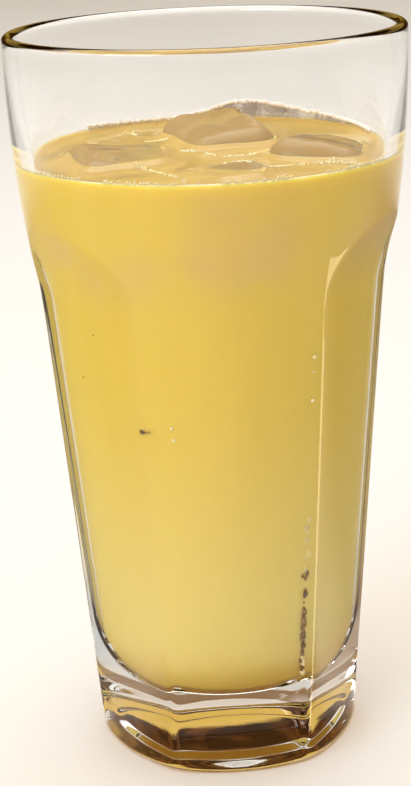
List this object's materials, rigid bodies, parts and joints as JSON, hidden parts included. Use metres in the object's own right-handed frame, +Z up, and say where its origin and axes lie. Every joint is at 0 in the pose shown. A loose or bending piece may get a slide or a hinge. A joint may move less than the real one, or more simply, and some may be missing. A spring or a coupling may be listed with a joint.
{
  "type": "glass of iced lemonade",
  "caption": "Tall pressed-glass tumbler with a round mouth over a six-sided body, filled with cloudy yellow lemonade and ice lumps.",
  "frame": {"origin": "centre of the foot, on the plane the glass stands on", "axes": "+Z up along the tumbler's axis; -Y square out of one of the six facets"},
  "size_m": [0.08, 0.08, 0.15],
  "materials": {
    "clear_glass": "clear and polished",
    "lemonade": "cloudy drink, wet surface",
    "ice": "wet, half melted, slightly cloudy"
  },
  "bodies": {
    "root": {"glass": "clear_glass", "lemonade": "lemonade", "ice_back": "ice", "ice_front": "ice", "ice_left": "ice", "ice_right": "ice"}
  },
  "joints": []
}
